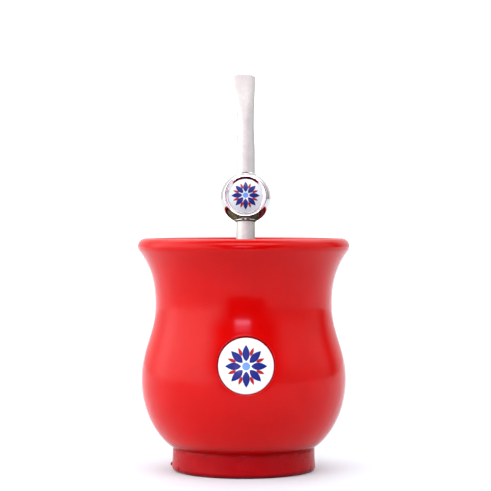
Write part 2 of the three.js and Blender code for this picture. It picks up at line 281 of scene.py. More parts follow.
def add_rows(shape, rows, start_tip=None, end_tip=None):
    """Rows of equal length joined into a tube, closed at each end by a tip point where one is given."""
    rows = np.asarray(rows, float)
    size = rows.shape[1]
    first = shape.add(rows)
    starts = [first + i * size for i in range(len(rows))]
    for a, b in zip(starts, starts[1:]):
        shape.link(ring_faces(a, b, size))
    if start_tip is not None:
        shape.link(fan_faces(starts[0], size, shape.add([start_tip])))
    if end_tip is not None:
        shape.link(fan_faces(starts[-1], size, shape.add([end_tip])))
    return starts


def new_object(name, data):
    """An object in the scene that shows this data."""
    item = bpy.data.objects.new(name, data)
    bpy.context.scene.collection.objects.link(item)
    return item


def make_piece(name, shape, material, replaces=()):
    """A closed mesh as a piece of the object, smooth but for its sharp edges."""
    mesh = bpy.data.meshes.new(name)
    mesh.from_pydata((np.vstack(shape.vertices) * MM).tolist(), [], shape.faces)
    work = bmesh.new()
    work.from_mesh(mesh)
    bmesh.ops.recalc_face_normals(work, faces=work.faces)
    work.to_mesh(mesh)
    work.free()
    mesh.shade_smooth()
    mesh.set_sharp_from_angle(angle=SHARP_EDGE)
    mesh.materials.append(material)
    piece = new_object(name, mesh)
    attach(piece, "root")
    if replaces:
        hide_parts(*replaces)
    return piece


def turned_rows(profile, columns):
    """Rows of points of a profile turned about the vertical axis, from the badge's middle round."""
    angle = CUP_BADGE.turn + turn_angles(columns)
    radius, height = np.asarray(profile)[:, :1], np.asarray(profile)[:, 1:]
    return np.stack([radius * np.sin(angle), -radius * np.cos(angle), height + 0 * angle], axis=-1)


def add_seat(shape, low, high):
    """The badge's round seat, which fills the gap in the cup's front grid between two of its rows."""
    wide = SEAT_PATCH.columns
    edge = [(low, i) for i in range(-wide, wide)] + [(j, wide) for j in range(low, high)]
    edge += [(high, i) for i in range(wide, -wide, -1)] + [(j, -wide) for j in range(high, low, -1)]
    angle = np.array([FULL_TURN * i / CUP_COLUMNS for _, i in edge])
    level = np.array([OUTSIDE[j, 1] for j, _ in edge])
    frame_u = outer_radius(level) * np.sin(angle)
    frame_v = level - CUP_BADGE.height
    around = np.arctan2(frame_v, frame_u)
    seat_u, seat_v = np.cos(around), np.sin(around)

    rim = SEAT_RINGS[0][0]
    shares = [step / SEAT_PATCH.rings for step in range(1, SEAT_PATCH.rings)]
    rings = [(lerp(frame_u, rim * seat_u, share), lerp(frame_v, rim * seat_v, share), 0) for share in shares]
    rings += [(radius * seat_u, radius * seat_v, inset) for radius, inset in SEAT_RINGS]
    steps = range(len(edge))
    last = [j * CUP_COLUMNS + i % CUP_COLUMNS for j, i in edge]
    for u, v, inset in rings:
        start = shape.add(on_belly(u, v, inset))
        shape.link([(last[i - 1], last[i], start + i, start + (i - 1) % len(edge)) for i in steps])
        last = [start + i for i in steps]
    middle = shape.add([on_belly(0, 0, SEAT_RINGS[-1][1])])
    shape.link([(last[i - 1], last[i], middle) for i in steps])


def make_cup(bowl, foot):
    """The turned cup as one closed mesh, with a round seat for the badge let into its front grid."""
    profile = np.vstack([OUTSIDE, INSIDE])
    rows = turned_rows(profile, CUP_COLUMNS)
    shape = Shape()
    shape.add(rows)
    underside = shape.add([(0, 0, 0)])
    inner_floor = shape.add([(0, 0, FLOOR_HEIGHT)])
    shape.link(fan_faces(0, CUP_COLUMNS, underside))
    shape.link(fan_faces((len(rows) - 1) * CUP_COLUMNS, CUP_COLUMNS, inner_floor))
    from_badge = OUTSIDE[:, 1] - CUP_BADGE.height
    low = int(np.argmin(abs(from_badge + SEAT_PATCH.half_height)))
    high = int(np.argmin(abs(from_badge - SEAT_PATCH.half_height)))
    for j in range(len(rows) - 1):
        quads = ring_faces(j * CUP_COLUMNS, (j + 1) * CUP_COLUMNS, CUP_COLUMNS)
        if low <= j < high:
            quads = quads[SEAT_PATCH.columns:CUP_COLUMNS - SEAT_PATCH.columns]
        shape.link(quads)
    add_seat(shape, low, high)
    cup = make_piece("cup_body", shape, bowl, ["cup"])

    # Below the groove the faces take the foot's material, whose darker red is painted shade
    cup.data.materials.append(foot)
    for face in cup.data.polygons:
        face.material_index = int(face.center.z < GROOVE.height * MM)
    # Painted shade: the tint is the share of the inside's deeper red, rising under the lip's crest and full
    # on the inner floor
    inside = smoothstep(CUP_HEIGHT - profile[:, 1], *INSIDE_SHADE) * (np.arange(len(profile)) >= len(OUTSIDE))
    tints = np.zeros(shape.count)
    tints[:len(rows) * CUP_COLUMNS] = np.repeat(inside, CUP_COLUMNS)
    tints[inner_floor] = 1
    tint_vertices(cup, tints)


def disc_rows(rings, place, columns=96):
    """Rows of a disc: (radius, depth) rings placed by place(u, v, depth)."""
    around = turn_angles(columns)
    return [place(radius * np.cos(around), radius * np.sin(around), depth) for radius, depth in rings]


def cup_badge_inset(radius):
    """How deep the badge's face lies under the belly's own curve."""
    return CUP_BADGE.sunk - CUP_BADGE.dome * (1 - (radius / CUP_BADGE.radius) ** 2)


def in_seat(u, v, inset):
    """A point of the cup's badge, which has settled a little towards the bottom of its seat."""
    return on_belly(u, v - CUP_BADGE.settled, inset)


def make_cup_badge(material):
    face = [(r, cup_badge_inset(r)) for r in np.linspace(*CUP_BADGE_FACE, 8)]
    edge = [(CUP_BADGE.radius - inward, CUP_BADGE.sunk + down) for inward, down in CUP_BADGE_EDGE]
    back = CUP_BADGE.sunk + CUP_BADGE.thickness
    rings = face + edge + [(CUP_BADGE.radius, back), (CUP_BADGE.radius / 2, back)]
    shape = Shape()
    add_rows(shape, disc_rows(rings, in_seat), in_seat(0, 0, cup_badge_inset(0)), in_seat(0, 0, back))
    make_piece("cup_badge_disc", shape, material, ["cup_badge"])


def straw_ring(height, inward, columns):
    """One ring of the straw: round below, tapered, then pressed flat with a crowned end."""
    angle = turn_angles(columns)
    taper = smoothstep(height, MOUTHPIECE.taper_start, MOUTHPIECE.flat_start)
    press = smoothstep(height, MOUTHPIECE.flat_start, STRAW.above)
    round_radius = lerp(STRAW.radius, MOUTHPIECE.taper_radius, taper)
    half_width = lerp(round_radius, MOUTHPIECE.half_width, press) - inward
    half_depth = lerp(round_radius, MOUTHPIECE.half_depth, press) - inward
    power = 2 / lerp(2, MOUTHPIECE_SHAPE.squareness, press)
    across = np.sign(np.cos(angle)) * abs(np.cos(angle)) ** power
    deep = np.sign(np.sin(angle)) * abs(np.sin(angle)) ** power
    near_tip = smoothstep(height, STRAW.above - MOUTHPIECE_SHAPE.crown_length, STRAW.above)
    crown = MOUTHPIECE_SHAPE.crown * near_tip * across**4
    sway = MOUTHPIECE_SHAPE.sway * press
    return np.stack([half_width * across + sway, half_depth * deep, height - crown], axis=-1)


def make_straw(material, columns=72):
    half = STRAW.wall / 2
    straight = np.linspace(-STRAW.below, MOUTHPIECE.taper_start, 12)
    pressed = np.linspace(MOUTHPIECE.taper_start, STRAW.above - half, 48)[1:]
    walls = np.concatenate([straight, pressed])
    turn = np.linspace(0, math.pi, 9)[1:-1]
    outside = [(height, 0) for height in walls]
    rim = [(STRAW.above - half + half * math.sin(a), half - half * math.cos(a)) for a in turn]
    inside = [(height, STRAW.wall) for height in walls[::-1]]
    rows = [on_straw(straw_ring(height, inward, columns)) for height, inward in outside + rim + inside]
    shape = Shape()
    starts = add_rows(shape, rows)
    shape.link(ring_faces(starts[-1], starts[0], columns))
    make_piece("straw_tube", shape, material, ["straw"])


def on_ball(u, v, forward):
    """A point of the ball, u to the side, v up and forward from its centre."""
    u, v = np.asarray(u, float), np.asarray(v, float)
    return on_straw(np.stack([u, -forward + 0 * u, v + BALL.height], axis=-1))


def make_ball(material):
    """The ball with its flat bezel, whose outer edge is broken, and the seat of its badge."""
    edge_angle = math.atan2(BEZEL_DISTANCE, BALL.bezel_radius)
    sphere = arc((0, 0), BALL.radius, BALL.radius, -QUARTER, edge_angle - BALL.edge_turn, 44)
    seat = BALL_BADGE.radius + BALL_BADGE.seat_gap
    seat_floor = BEZEL_DISTANCE - BALL_BADGE.depth
    window = BALL_BADGE.window + BEZEL_EDGE.gap
    edge_low = BEZEL_DISTANCE - BEZEL_EDGE.drop
    bezel = [(BALL.bezel_radius - inward, BEZEL_DISTANCE - back) for inward, back in BEZEL_RIM]
    bezel += [
        (window + BEZEL_EDGE.width + BEZEL_EDGE.round, BEZEL_DISTANCE),
        (window + BEZEL_EDGE.width, BEZEL_DISTANCE - BEZEL_EDGE.round / 3),
        (window + BEZEL_EDGE.width - BEZEL_EDGE.round, BEZEL_DISTANCE - BEZEL_EDGE.round),
        (window, edge_low),
        (window, edge_low - BEZEL_EDGE.lip),
        (seat, edge_low - BEZEL_EDGE.lip),
        (seat, seat_floor),
        (seat / 2, seat_floor),
    ]
    rings = [tuple(p) for p in sphere] + bezel
    shape = Shape()
    rows = disc_rows(rings, on_ball)
    add_rows(shape, rows, on_ball(0, 0, -BALL.radius), on_ball(0, 0, seat_floor))
    make_piece("ball_body", shape, material, ["straw_ball"])


def make_collars(material, columns=72):
    """Thin rounded solder fillets where the tube goes into the ball, above and below."""
    shape = Shape()
    reach = math.sqrt(BALL.radius**2 - STRAW.radius**2)
    centre = (STRAW.radius + COLLAR.round, reach + COLLAR.lift)
    within_tube = STRAW.radius - COLLAR.overlap
    profile = np.vstack([
        [(within_tube, centre[1])],
        arc(centre, COLLAR.round, COLLAR.round, 2 * QUARTER, 3 * QUARTER, 6),
        [(centre[0], reach - COLLAR.outer_root), (within_tube, reach - COLLAR.inner_root)],
    ])
    radius, height = profile[:, :1], profile[:, 1:]
    angle = turn_angles(columns)
    for side in (-1, 1):
        level = BALL.height + side * height + 0 * angle
        rows = np.stack([radius * np.cos(angle), radius * np.sin(angle), level], axis=-1)
        starts = add_rows(shape, on_straw(rows))
        shape.link(ring_faces(starts[-1], starts[0], columns))
    make_piece("ball_collars", shape, material)


def ball_badge_height(radius):
    """How far the badge's clear dome stands before the bezel, or lies behind it at its edge."""
    share = np.clip(np.asarray(radius, float) / BALL_BADGE.window, 0, 1)
    return BALL_BADGE.dome - (BALL_BADGE.dome + BEZEL_EDGE.drop) * share**BALL_BADGE.dome_power


def make_ball_badge(material):
    """The domed badge, whose hidden flange lies under the bezel's edge."""
    radii = np.linspace(1, BALL_BADGE.window, 20)
    face = list(zip(radii, BEZEL_DISTANCE + ball_badge_height(radii)))
    flange = BEZEL_DISTANCE - BEZEL_EDGE.drop - BALL_BADGE.flange_drop
    back = BEZEL_DISTANCE - BALL_BADGE.depth + BALL_BADGE.seat_gap
    hidden = [(BALL_BADGE.window, flange), (BALL_BADGE.radius, flange), (BALL_BADGE.radius, back)]
    rings = face + hidden + [(BALL_BADGE.radius / 2, back)]
    tip = on_ball(0, 0, BEZEL_DISTANCE + BALL_BADGE.dome)
    shape = Shape()
    add_rows(shape, disc_rows(rings, on_ball), tip, on_ball(0, 0, back))
    make_piece("ball_badge_dome", shape, material, ["ball_badge"])


# The printed rosette: rings of petals and a round eye, in shares of the rosette's radius
ROSETTE_PETALS = {
    "navy": Sizes(count=8, first=0.0, start=0.24, end=1.0, half_width=0.17),
    "red": Sizes(count=8, first=0.5, start=0.52, end=0.94, half_width=0.075),
}
ROSETTE_EYE = 0.19
PETAL_SHAPE = Sizes(lean=0.85, fullness=0.9, blunt=0.004)


def petal_outline(petal, number, along=18, across=6):
    """(u, v) grid of one pointed petal, in shares of the rosette's radius."""
    angle = QUARTER + FULL_TURN * (number + petal.first) / petal.count
    t, s = np.meshgrid(np.linspace(0, 1, along), np.linspace(-1, 1, across), indexing="ij")
    reach = lerp(petal.start, petal.end, t)
    belly = np.sin(math.pi * t**PETAL_SHAPE.lean) ** PETAL_SHAPE.fullness
    side = s * (petal.half_width * belly + PETAL_SHAPE.blunt)
    u = reach * math.cos(angle) - side * math.sin(angle)
    v = reach * math.sin(angle) + side * math.cos(angle)
    return u, v


def add_film(shape, front, back):
    """A thin closed film between two grids of points."""
    rows, columns = front.shape[:2]
    first, second = shape.add(front), shape.add(back)
    number = np.arange(rows * columns).reshape(rows, columns)
    cells = np.stack([number[:-1, :-1], number[1:, :-1], number[1:, 1:], number[:-1, 1:]], axis=-1)
    cells = cells.reshape(-1, 4)
    shape.link(cells + first)
    shape.link(cells[:, ::-1] + second)
    border = np.concatenate([number[0, :-1], number[:-1, -1], number[-1, :0:-1], number[:0:-1, 0]])
    following = np.roll(border, -1)
    shape.link(np.stack([border + first, border + second, following + second, following + first], axis=-1))


def make_rosette(prefix, radius, place, inks, film=0.05):
    """The rosette as thin films that follow the badge's face; place(u, v, lift) puts a point on it."""
    for ink, petal in ROSETTE_PETALS.items():
        shape = Shape()
        for number in range(petal.count):
            u, v = petal_outline(petal, number)
            add_film(shape, place(u * radius, v * radius, film), place(u * radius, v * radius, -film))
        make_piece(f"{prefix}_print_{ink}", shape, inks[ink])
    shape = Shape()
    eye = radius * ROSETTE_EYE
    rings = [(eye * share, film) for share in (0.3, 0.7, 1.0)]
    rings += [(eye * share, -film) for share in (1.0, 0.3)]
    add_rows(shape, disc_rows(rings, place, 48), place(0, 0, film), place(0, 0, -film))
    make_piece(f"{prefix}_print_sky", shape, inks["sky"])


def on_cup_badge(u, v, lift):
    return in_seat(u, v, cup_badge_inset(np.hypot(u, v)) - lift)


def on_ball_badge(u, v, lift):
    return on_ball(u, v, BEZEL_DISTANCE + ball_badge_height(np.hypot(u, v)) + lift)


# The contents


def shore_at(y):
    """Where the yerba's slope meets the drink."""
    bays = sum(share * np.sin(np.asarray(y) / width) for width, share in SHORE_BAYS)
    return HEAP.shore + HEAP.wave * bays


def heap_height(x, y):
    """The yerba's slope over the drink."""
    inland = np.maximum(shore_at(y) - x, 0)
    slope = HEAP.rise * (1 - np.exp(-inland / HEAP.reach))
    ripple = sum(np.sin(along_x * x + along_y * y) for along_x, along_y in HEAP_RIPPLES)
    toe = HEAP.toe * smoothstep(inland, *HEAP.toe_reach)
    return DRINK_LEVEL + HEAP.gap + toe + slope + HEAP.bump * ripple


def straw_distance(x, y):
    """How far a point of the drink's surface is from the straw's side."""
    middle = on_straw([0, 0, (DRINK_LEVEL - CUP_HEIGHT) / math.cos(STRAW.lean)])
    return np.hypot(x - middle[0], (y - middle[1]) * math.cos(STRAW.lean)) - STRAW.radius


def drink_height(x, y):
    """The drink's surface, drawn up where it wets the wall and the straw."""
    radius = np.hypot(x, y)
    at_wall = WETTING.wall * np.exp(-(inner_radius(DRINK_LEVEL) - radius) / WETTING.wall)
    at_straw = WETTING.straw * np.exp(-np.maximum(straw_distance(x, y), 0) / WETTING.straw)
    swell = sum(height * np.sin(along_x * x + along_y * y) for height, along_x, along_y in DRINK_SWELLS)
    return DRINK_LEVEL - DRINK_SETTLED + at_wall + at_straw + swell


def make_drink(material, columns=160):
    """The soaked leaf and water as one closed body that fills the cup up to its level."""
    into_wall = DRINK_BODY.into_wall
    body = INSIDE[INSIDE[:, 1] < DRINK_LEVEL - DRINK_BODY.under_level] + [into_wall, -into_wall]
    reach = inner_radius(DRINK_LEVEL) + into_wall
    angle = CUP_BADGE.turn + turn_angles(columns)
    rows = []
    for share in np.linspace(0, 1, DRINK_BODY.rings)[1:] ** DRINK_BODY.crowding:
        x, y = share * reach * np.sin(angle), -share * reach * np.cos(angle)
        rows.append(np.stack([x, y, drink_height(x, y)], axis=-1))
    rows += list(turned_rows(body, columns))
    shape = Shape()
    add_rows(shape, rows, (0, 0, float(drink_height(0, 0))), (0, 0, FLOOR_HEIGHT - into_wall))
    make_piece("drink_body", shape, material, ["drink"])


def make_heap(material, lines=150, steps=70):
    """The yerba's slope as a closed body with fine relief, from its shore to just inside the wall."""
    rng = np.random.default_rng(SEEDS.heap)
    reach = inner_radius(DRINK_LEVEL) - HEAP_BODY.wall_gap
    y_line = np.linspace(-reach, reach, lines)
    y_line = y_line[shore_at(y_line) + np.sqrt(reach**2 - y_line**2) > HEAP_BODY.least_width]
    y, t = np.meshgrid(y_line, np.linspace(0, 1, steps), indexing="ij")
    shore = shore_at(y)
    wall = -np.sqrt(np.maximum(inner_radius(DRINK_LEVEL + HEAP_BODY.first_rise) ** 2 - y**2, 0))
    for _ in range(3):
        x = lerp(shore, wall, t)
        radius = inner_radius(heap_height(wall, y)) + HEAP_BODY.into_wall
        wall = -np.sqrt(np.maximum(radius**2 - y**2, 0))
    relief = rng.normal(0, HEAP_BODY.relief, x.shape) * smoothstep(t, 0, HEAP_BODY.calm_shore)
    top = np.stack([x, y, heap_height(x, y) + relief], axis=-1)
    under = np.stack([x, y, 0 * x + DRINK_LEVEL - HEAP_BODY.under], axis=-1)
    shape = Shape()
    add_film(shape, top, under)
    make_piece("yerba_core", shape, material, ["yerba"])


def random_turns(rng, count, tilt):
    """Frames of three unit vectors: turned every way about Z, then tilted at random."""
    turn = rng.uniform(0, FULL_TURN, count)
    lean_x, lean_y = rng.normal(0, tilt, count), rng.normal(0, tilt, count)
    up = np.stack([lean_x, lean_y, np.ones(count)], axis=-1)
    up /= np.linalg.norm(up, axis=1, keepdims=True)
    along = np.stack([np.cos(turn), np.sin(turn), np.zeros(count)], axis=-1)
    along -= up * np.sum(along * up, axis=1, keepdims=True)
    along /= np.linalg.norm(along, axis=1, keepdims=True)
    return along, np.cross(up, along), up


def make_flakes(name, centres, rng, material, tints, length, tilt, sides=6):
    """Torn bits of leaf: thin bent plates of uneven outline, one joined mesh with a tint for each."""
    count = len(centres)
    along, across, up = random_turns(rng, count, tilt)
    size = rng.uniform(*length, count)
    ratio = rng.uniform(*FLAKE.ratio, count)
    angle = FULL_TURN * (np.arange(sides) + rng.uniform(-FLAKE.jitter, FLAKE.jitter, (count, sides))) / sides
    spread = rng.uniform(*FLAKE.spread, (count, sides))
    u = size[:, None] / 2 * spread * np.cos(angle)
    v = size[:, None] / 2 * spread * np.sin(angle) * ratio[:, None]
    bend = rng.normal(0, FLAKE.bend, count)[:, None] * (u**2) / size[:, None]
    rim = centres[:, None] + u[..., None] * along[:, None] + v[..., None] * across[:, None]
    rim = rim + bend[..., None] * up[:, None]
    thick = rng.uniform(*FLAKE.half_thickness, count)[:, None, None] * up[:, None]
    vertices = np.concatenate([rim + thick, rim - thick], axis=1).reshape(-1, 3)
    ring = np.arange(sides)
    after = np.roll(ring, -1)
    one = [tuple(ring), tuple(ring[::-1] + sides)]
    one += [(int(a), int(a) + sides, int(b) + sides, int(b)) for a, b in zip(ring, after)]
    shape = Shape()
    shape.add(vertices)
    step = 2 * sides
    shape.faces = [tuple(int(i) + k * step for i in face) for k in range(count) for face in one]
    piece = make_piece(name, shape, material)
    tint_vertices(piece, np.repeat(tints, step))


def make_stems(name, centres, rng, material, tints, length, radius, tilt, columns=7):
    """Cut stems: short bent sticks with blunt ends, one joined mesh with a tint for each."""
    along, across, up = random_turns(rng, len(centres), tilt)
    shape = Shape()
    angle = turn_angles(columns)
    for centre, forward, aside, upward in zip(centres, along, across, up):
        half = rng.uniform(*length) / 2
        thick = rng.uniform(*radius)
        bow = rng.normal(0, STEM_BOW) * half
        around = np.outer(np.cos(angle), aside) + np.outer(np.sin(angle), upward)
        rows = []
        for station, wide in zip(STEM_STATIONS, STEM_WIDTHS):
            middle = centre + forward * half * station + aside * bow * (1 - station**2)
            rows.append(middle + thick * wide * around)
        add_rows(shape, rows, rows[0].mean(0), rows[-1].mean(0))
    piece = make_piece(name, shape, material)
    tint_vertices(piece, np.repeat(tints, len(STEM_STATIONS) * columns + 2))


def tint_vertices(piece, tints):
    """Keeps one number a vertex for the material to read."""
    attribute = piece.data.attributes.new("tint", "FLOAT", "POINT")
    attribute.data.foreach_set("value", np.asarray(tints, np.float32))


def scatter_on_heap(rng, count, margin):
    """Points spread evenly over the yerba's slope."""
    found = np.zeros((0, 2))
    reach = inner_radius(DRINK_LEVEL + SCATTER.mean_rise) - margin
    while len(found) < count:
        spots = rng.uniform([-reach, -reach], [HEAP.shore + SCATTER.past_shore, reach], (count, 2))
        x, y = spots.T
        inside = np.hypot(x, y) < inner_radius(heap_height(x, y)) - margin
        ashore = x < shore_at(y) - SCATTER.ashore
        found = np.vstack([found, spots[inside & ashore]])
    return found[:count]


def scatter_on_drink(rng, count, drift, margin):
    """Points on the drink's surface, thickest along the yerba's shore, clear of the straw."""
    found = np.zeros((0, 2))
    reach = inner_radius(DRINK_LEVEL) - margin
    while len(found) < count:
        y = rng.uniform(-reach, reach, count)
        x = shore_at(y) + rng.exponential(drift, count)
        keep = (np.hypot(x, y) < reach) & (straw_distance(x, y) > margin)
        found = np.vstack([found, np.column_stack([x, y])[keep]])
    return found[:count]


def lifted(spots, surface, lift):
    """Spots raised to a surface and lifted off it."""
    return np.column_stack([spots, surface(spots[:, 0], spots[:, 1]) + lift])


def make_yerba_pieces(leaf, stem):
    """Loose leaf and stems over the slope, and the bits that float on the drink."""
    rng = np.random.default_rng(SEEDS.pieces)
    spots = scatter_on_heap(rng, count=4200, margin=0.8)
    centres = lifted(spots, heap_height, rng.uniform(0.0, 0.45, len(spots)))
    wet = np.exp(-(shore_at(spots[:, 1]) - spots[:, 0]) / WET_LEAF.reach)
    tints = rng.uniform(0.25, 1, len(spots)) * (1 - WET_LEAF.darkening * wet)
    make_flakes("yerba_leaf", centres, rng, leaf, tints, length=(0.7, 2.9), tilt=0.5)

    spots = scatter_on_heap(rng, count=120, margin=4.5)
    centres = lifted(spots, heap_height, rng.uniform(0.25, 0.7, len(spots)))
    tints = rng.uniform(0, 1, len(spots))
    make_stems("yerba_stems", centres, rng, stem, tints, length=(3, 9.5), radius=(0.3, 0.75), tilt=0.3)

    spots = scatter_on_drink(rng, count=900, drift=5.0, margin=1.0)
    centres = lifted(spots, drink_height, lift=0.04)
    tints = rng.uniform(0, 0.3, len(spots))
    make_flakes("floating_leaf", centres, rng, leaf, tints, length=(0.4, 1.9), tilt=0.06)

    spots = scatter_on_drink(rng, count=16, drift=6.0, margin=4.5)
    centres = lifted(spots, drink_height, lift=0.1)
    tints = rng.uniform(0, 0.5, len(spots))
    make_stems("floating_stems", centres, rng, stem, tints, length=(2.5, 7), radius=(0.25, 0.5), tilt=0.03)


def foam_bubbles():
    """(x, y, size) of fine bubbles that crowd along the shore, round the straw and against the wall."""
    rng = np.random.default_rng(SEEDS.foam)
    kept = np.zeros((0, 3))
    reach = inner_radius(DRINK_LEVEL)
    for size in np.geomspace(FOAM.largest, FOAM.smallest, FOAM.tries):
        x, y = rng.uniform(-reach, reach, 2)
        ashore = x - shore_at(y)
        at_wall = reach - math.hypot(x, y)
        at_straw = float(straw_distance(x, y))
        gaps = [(ashore, FOAM_GAP.shore), (at_wall, FOAM_GAP.wall), (at_straw, FOAM_GAP.straw)]
        if any(room < share * size for room, share in gaps):
            continue
        near = min(ashore / FOAM.near_shore, at_straw / FOAM.near_straw, at_wall / FOAM.near_wall)
        if rng.random() > math.exp(-near):
            continue
        apart = np.hypot(x - kept[:, 0], y - kept[:, 1])
        if np.all(apart > FOAM.packing * (size + kept[:, 2])):
            kept = np.vstack([kept, (x, y, size)])
    return kept


def make_foam(material, columns=9, levels=3):
    """Froth: each bubble a small closed dome, all in one mesh."""
    shape = Shape()
    angle = turn_angles(columns)
    rise = np.linspace(FOAM.low_angle, QUARTER, levels + 1)[:-1, None]
    for x, y, size in foam_bubbles():
        base = float(drink_height(x, y)) - FOAM.sunk * size
        tall = FOAM.height * size
        rows = np.stack([x + size * np.cos(rise) * np.cos(angle), y + size * np.cos(rise) * np.sin(angle),
                         base + tall * np.sin(rise) + 0 * angle], axis=-1)
        add_rows(shape, rows, rows[0].mean(0), (x, y, base + tall))
    make_piece("drink_foam", shape, material)


def make_drips(material, columns=20):
    """Two small beads of lacquer that ran down and set at the foot's left side."""
    shape = Shape()
    angle = turn_angles(columns)
    upward = np.array([0, 0, 1])
    for drip in DRIPS:
        azimuth = math.radians(drip.azimuth)
        outward = np.array([math.sin(azimuth), -math.cos(azimuth), 0])
        sideways = np.array([math.cos(azimuth), math.sin(azimuth), 0])
        base = outward * (FOOT.radius - DRIP_ROOT.sunk) + upward * drip.height
        crest = outward * (DRIP_ROOT.sunk + drip.proud)
        flat = np.outer(np.cos(angle) * drip.half_width, sideways)
        flat += np.outer(np.sin(angle) * drip.half_height, upward)
        rises = np.linspace(DRIP_ROOT.low_angle, QUARTER, 8)[:-1]
        rows = [base + math.cos(rise) * flat + crest * math.sin(rise) for rise in rises]
        add_rows(shape, rows, base - outward * DRIP_ROOT.back, base + crest)
    make_piece("lacquer_drips", shape, material)


# Materials


def map_range(tree, value, from_low, from_high, to_low, to_high):
    """A node that remaps a value from one range to another."""
    node = tree.nodes.new("ShaderNodeMapRange")
    limits = {"From Min": from_low, "From Max": from_high, "To Min": to_low, "To Max": to_high}
    for socket, limit in limits.items():
        node.inputs[socket].default_value = limit
    tree.links.new(value, node.inputs["Value"])
    return node


class Look:
    """A material being built: its node tree, its main shader and short ways to add nodes."""

    def __init__(self, name, **sockets):
        self.material = bpy.data.materials.new(name)
        self.material.use_nodes = True
        self.tree = self.material.node_tree
        self.shader = self.tree.nodes["Principled BSDF"]
        for socket, value in sockets.items():
            self.shader.inputs[socket.replace("_", " ")].default_value = value
        self.place = self.tree.nodes.new("ShaderNodeTexCoord").outputs["Object"]

    def link(self, output, target):
        self.tree.links.new(output, target)

    def noise(self, size_mm, detail=3.0, stretch=(1, 1, 1)):
        """Noise with features of about this size."""
        mapping = self.tree.nodes.new("ShaderNodeMapping")
        mapping.inputs["Scale"].default_value = [1 / (size_mm * MM * s) for s in stretch]
        texture = self.tree.nodes.new("ShaderNodeTexNoise")
        texture.inputs["Scale"].default_value = 1.0
        texture.inputs["Detail"].default_value = detail
        self.link(self.place, mapping.inputs["Vector"])
        self.link(mapping.outputs["Vector"], texture.inputs["Vector"])
        return texture.outputs["Fac"]

    def spread(self, value, low, high, start=0.3, end=0.7):
        """A number from start to end remapped from low to high."""
        return map_range(self.tree, value, start, end, low, high).outputs["Result"]

    def colours(self, value, *stops):
        """A ramp of (place, colour) stops."""
        node = self.tree.nodes.new("ShaderNodeValToRGB")
        ramp = node.color_ramp
        while len(ramp.elements) < len(stops):
            ramp.elements.new(0.5)
        for element, (place, colour) in zip(ramp.elements, stops):
            element.position = place
            element.color = (*colour, 1)
        self.link(value, node.inputs["Fac"])
        return node.outputs["Color"]

    def mottle(self, size_mm, detail, pair):
        """A darker and a lighter colour in patches of about this size."""
        dark, light = pair
        return self.colours(self.noise(size_mm, detail), (0.3, dark), (0.7, light))

    def band(self, low_mm, high_mm):
        """0 below one height and 1 above the other."""
        node = self.tree.nodes.new("ShaderNodeSeparateXYZ")
        self.link(self.place, node.inputs[0])
        return self.spread(node.outputs["Z"], 0, 1, low_mm * MM, high_mm * MM)

    def blend(self, share, first, second):
        node = self.tree.nodes.new("ShaderNodeMix")
        node.data_type = "RGBA"
        factor, a, b = node.inputs["Factor"], node.inputs[6], node.inputs[7]
        self.link(share, factor)
        self.link(first, a)
        self.link(second, b)
        return node.outputs[2]

    def attribute(self, name):
        node = self.tree.nodes.new("ShaderNodeAttribute")
        node.attribute_name = name
        return node.outputs["Fac"]

    def bump(self, value, height_mm, strength=1.0):
        node = self.tree.nodes.new("ShaderNodeBump")
        node.inputs["Distance"].default_value = height_mm * MM
        node.inputs["Strength"].default_value = strength
        self.link(value, node.inputs["Height"])
        self.link(node.outputs["Normal"], self.shader.inputs["Normal"])

    def drive(self, socket, output):
        self.link(output, self.shader.inputs[socket])


# Heights in millimetres over which a deeper red, painted shade, goes over into the full one: over the groove
# and at the foot's base
GROOVE_SHADE = (9.8, 14.0)
BASE_SHADE = (0.2, 2.0)

# A darker and a lighter colour for each mottled surface
BOWL_RED = ((0.51, 0.0008, 0.0006), (0.55, 0.0014, 0.001))
GROOVE_SHADE_RED = ((0.26, 0.0004, 0.0008), (0.3, 0.0006, 0.001))
INSIDE_SHADE_RED = ((0.08, 0.001, 0.0015), (0.12, 0.0015, 0.002))
FOOT_SHADED_RED = ((0.33, 0.0008, 0.003), (0.38, 0.0014, 0.004))
BASE_SHADE_RED = ((0.12, 0.0006, 0.002), (0.16, 0.001, 0.003))
FROTH_TAN = ((0.2, 0.195, 0.07), (0.42, 0.4, 0.2))
FLOOR_PALE = ((0.69, 0.75, 0.79), (0.71, 0.77, 0.81))


def lacquer_look():
    """Glossy red lacquer, with a painted shade of deeper red over the groove and where the tint says that it
    lines the inside.
    """
    look = Look("red_lacquer", IOR=1.25)
    # The inside's deeper red is painted shade
    inside = look.mottle(5, 4, INSIDE_SHADE_RED)
    # Painted shade: a deeper red over the groove, going over into the full red above it
    outside = look.blend(look.band(*GROOVE_SHADE), look.mottle(9, 4, GROOVE_SHADE_RED), look.mottle(9, 4, BOWL_RED))
    look.drive("Base Color", look.blend(look.attribute("tint"), outside, inside))
    look.drive("Roughness", look.spread(look.noise(12, 3), 0.13, 0.17))
    look.bump(look.noise(6, 2), 0.02, 0.25)
    return look.material


def foot_look():
    """The foot's duller red, darkened as painted shade, with a deeper painted shade at its base."""
    look = Look("foot_lacquer", IOR=1.17)
    base, side = look.mottle(6, 4, BASE_SHADE_RED), look.mottle(6, 4, FOOT_SHADED_RED)
    # Painted shade: the foot's red darkens further towards its base, where it meets the floor
    look.drive("Base Color", look.blend(look.band(*BASE_SHADE), base, side))
    look.drive("Roughness", look.spread(look.noise(12, 3), 0.24, 0.3))
    look.bump(look.noise(6, 2), 0.02, 0.25)
    return look.material


def badge_look(name, colour, roughness):
    """Printed or moulded plastic under a thin clear coat."""
    look = Look(name, IOR=1.35, Coat_Weight=0.1, Coat_Roughness=0.08)
    darker = tuple(0.94 * c for c in colour)
    look.drive("Base Color", look.mottle(2.5, 4, (darker, colour)))
    look.drive("Roughness", look.spread(look.noise(1.2, 3), roughness * 0.85, roughness * 1.2))
    look.bump(look.noise(0.5, 2), 0.002, 0.3)
    return look.material


